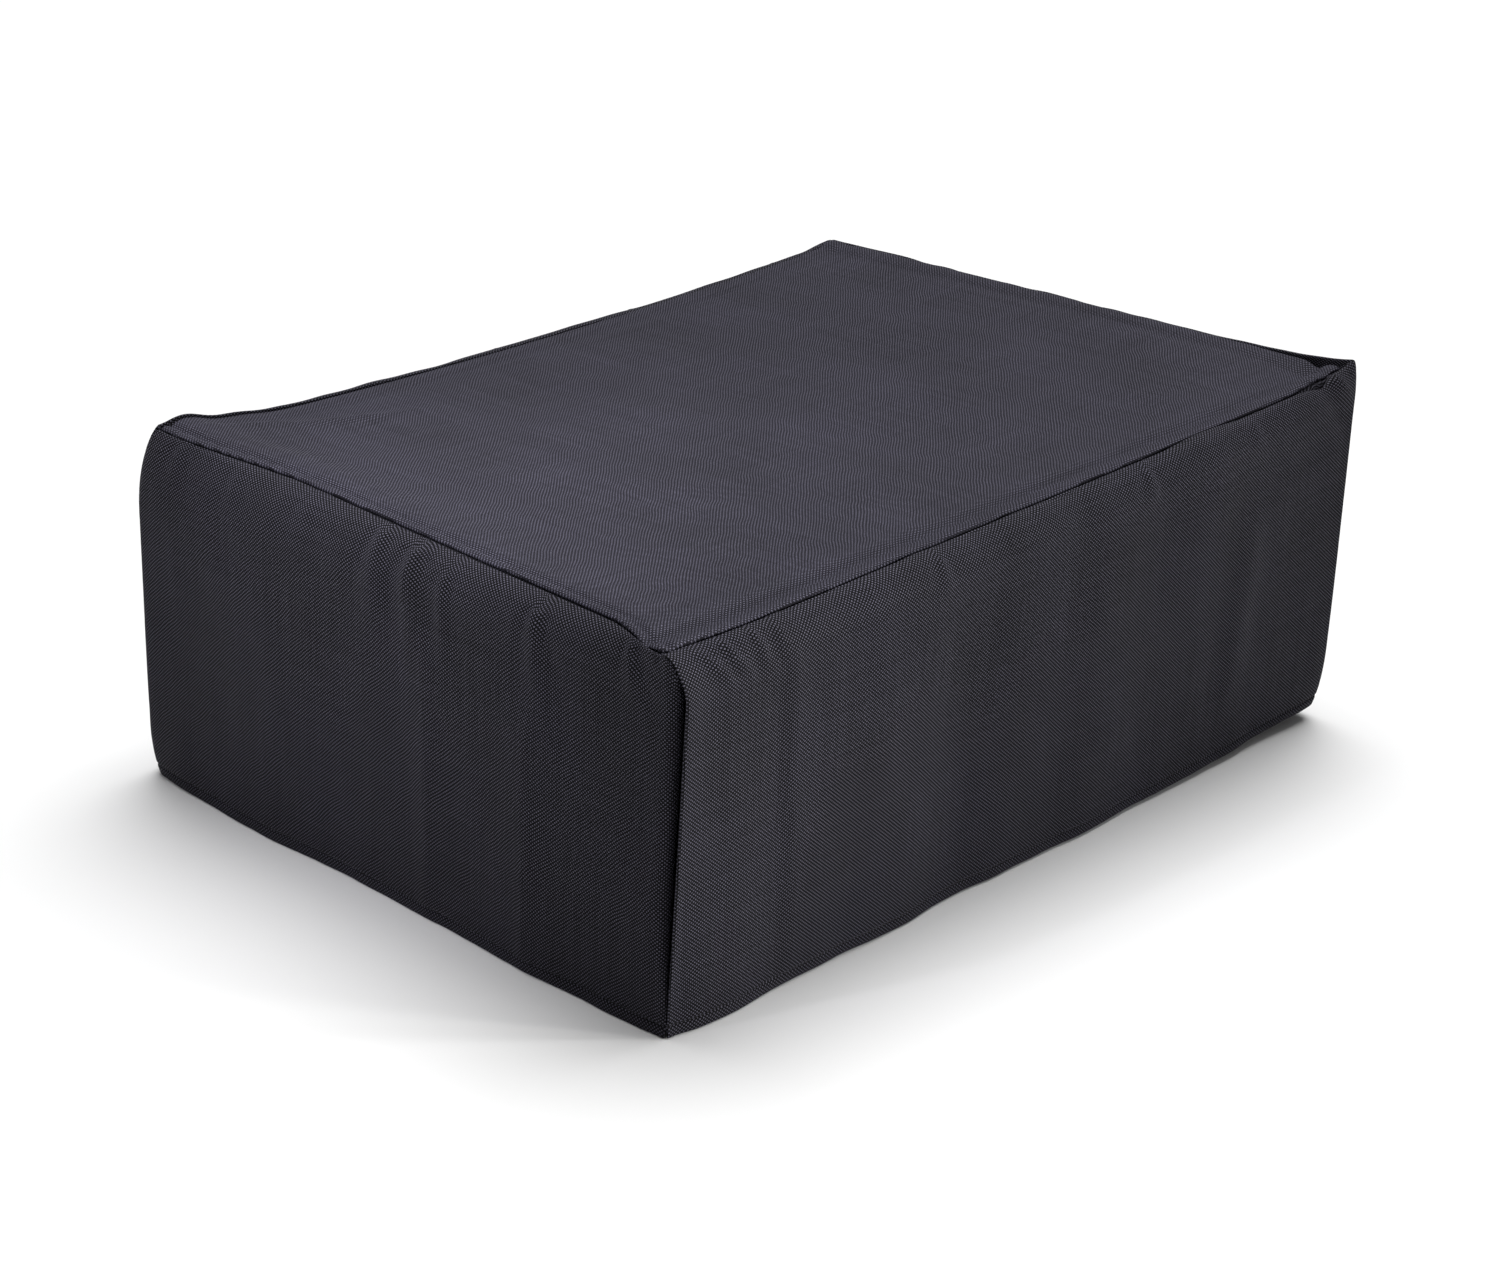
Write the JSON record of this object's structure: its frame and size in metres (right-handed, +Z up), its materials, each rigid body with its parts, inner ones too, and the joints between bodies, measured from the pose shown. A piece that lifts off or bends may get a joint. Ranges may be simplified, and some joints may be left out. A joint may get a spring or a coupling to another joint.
{
  "type": "printer dust cover",
  "caption": "Fitted box-shaped fabric dust cover for a desktop printer, black woven oxford, open underneath, with stitched seams and a turned hem.",
  "frame": {"origin": "centre of the rectangle that the hem stands on, at the height of the hem's lower edge", "axes": "+X along the long side towards the right end, -Y towards the long front wall, +Z up"},
  "size_m": [0.4706, 0.3566, 0.18],
  "materials": {
    "top_cloth": "matte coarse plain-weave oxford",
    "wall_cloth": "matte coarse plain-weave oxford",
    "sewing_thread": "smooth twisted polyester",
    "overlock_thread": "soft textured polyester"
  },
  "bodies": {
    "root": {"top_panel": "top_cloth", "front_panel": "wall_cloth", "right_panel": "wall_cloth", "rear_panel": "wall_cloth", "left_panel": "wall_cloth", "top_seam_needle_thread": "sewing_thread", "top_seam_bobbin_thread": "sewing_thread", "hem_needle_thread": "sewing_thread", "hem_bobbin_thread": "sewing_thread", "corner_seam_needle_thread_front_right": "sewing_thread", "corner_seam_bobbin_thread_front_right": "sewing_thread", "corner_seam_needle_thread_rear_right": "sewing_thread", "corner_seam_bobbin_thread_rear_right": "sewing_thread", "corner_seam_needle_thread_rear_left": "sewing_thread", "corner_seam_bobbin_thread_rear_left": "sewing_thread", "corner_seam_needle_thread_front_left": "sewing_thread", "corner_seam_bobbin_thread_front_left": "sewing_thread", "top_seam_overlock": "overlock_thread", "corner_seam_overlock_front_right": "overlock_thread", "corner_seam_overlock_rear_right": "overlock_thread", "corner_seam_overlock_rear_left": "overlock_thread", "corner_seam_overlock_front_left": "overlock_thread"}
  },
  "joints": []
}
